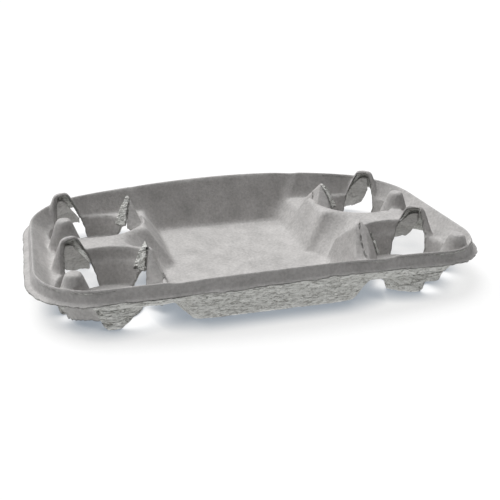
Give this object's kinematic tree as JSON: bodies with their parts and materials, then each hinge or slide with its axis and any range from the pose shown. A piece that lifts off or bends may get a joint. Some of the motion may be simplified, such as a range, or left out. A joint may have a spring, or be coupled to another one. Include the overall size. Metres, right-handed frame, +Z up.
{
  "type": "moulded pulp cup carrier",
  "caption": "Moulded pulp carrier tray with a well at each corner for a drink cup and a deep food basin between them.",
  "frame": {"origin": "on the surface that the carrier stands on, under the middle of its bounding box", "axes": "+X along the carrier's length to the right, +Y from front to back, +Z up"},
  "size_m": [0.3798, 0.2454, 0.0468],
  "materials": {
    "pulp": "matt grey moulded paper pulp, smooth above and rough with fibre below"
  },
  "bodies": {
    "root": {"carrier": "pulp"}
  },
  "joints": []
}
